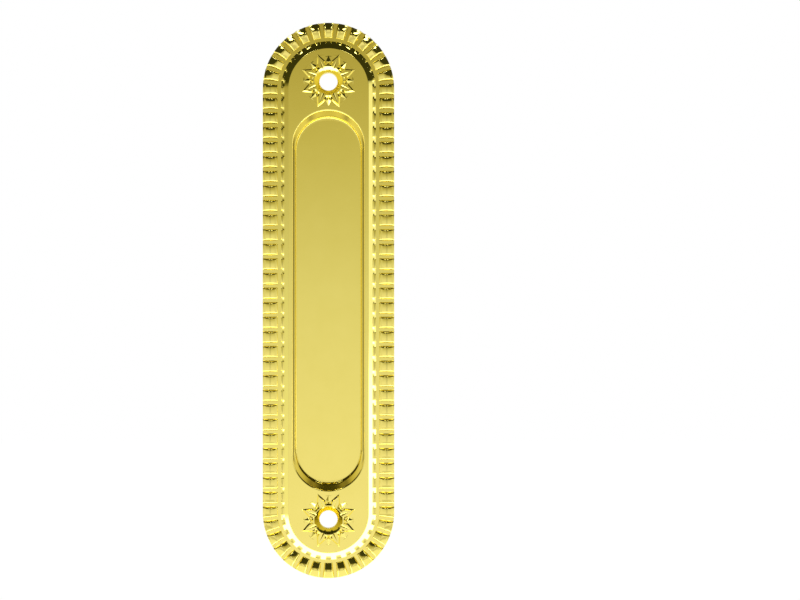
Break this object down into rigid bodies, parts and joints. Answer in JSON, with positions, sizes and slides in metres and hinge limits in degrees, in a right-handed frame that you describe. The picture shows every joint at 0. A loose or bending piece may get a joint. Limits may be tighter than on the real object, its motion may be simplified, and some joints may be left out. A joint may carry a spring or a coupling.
{
  "type": "flush pull for a sliding door",
  "caption": "Oval flush pull for a sliding door: a brass plate with a beaded border, rosettes round its countersunk screw holes and a deep finger cup.",
  "frame": {"origin": "middle of the flat back that lies on the door, halfway between the screw holes", "axes": "+Z along the length, front towards -Y, the cup goes into the door towards +Y"},
  "size_m": [0.036, 0.0109, 0.152],
  "materials": {
    "polished_brass": "polished, lacquered"
  },
  "bodies": {
    "root": {"flush_pull": "polished_brass"}
  },
  "joints": []
}
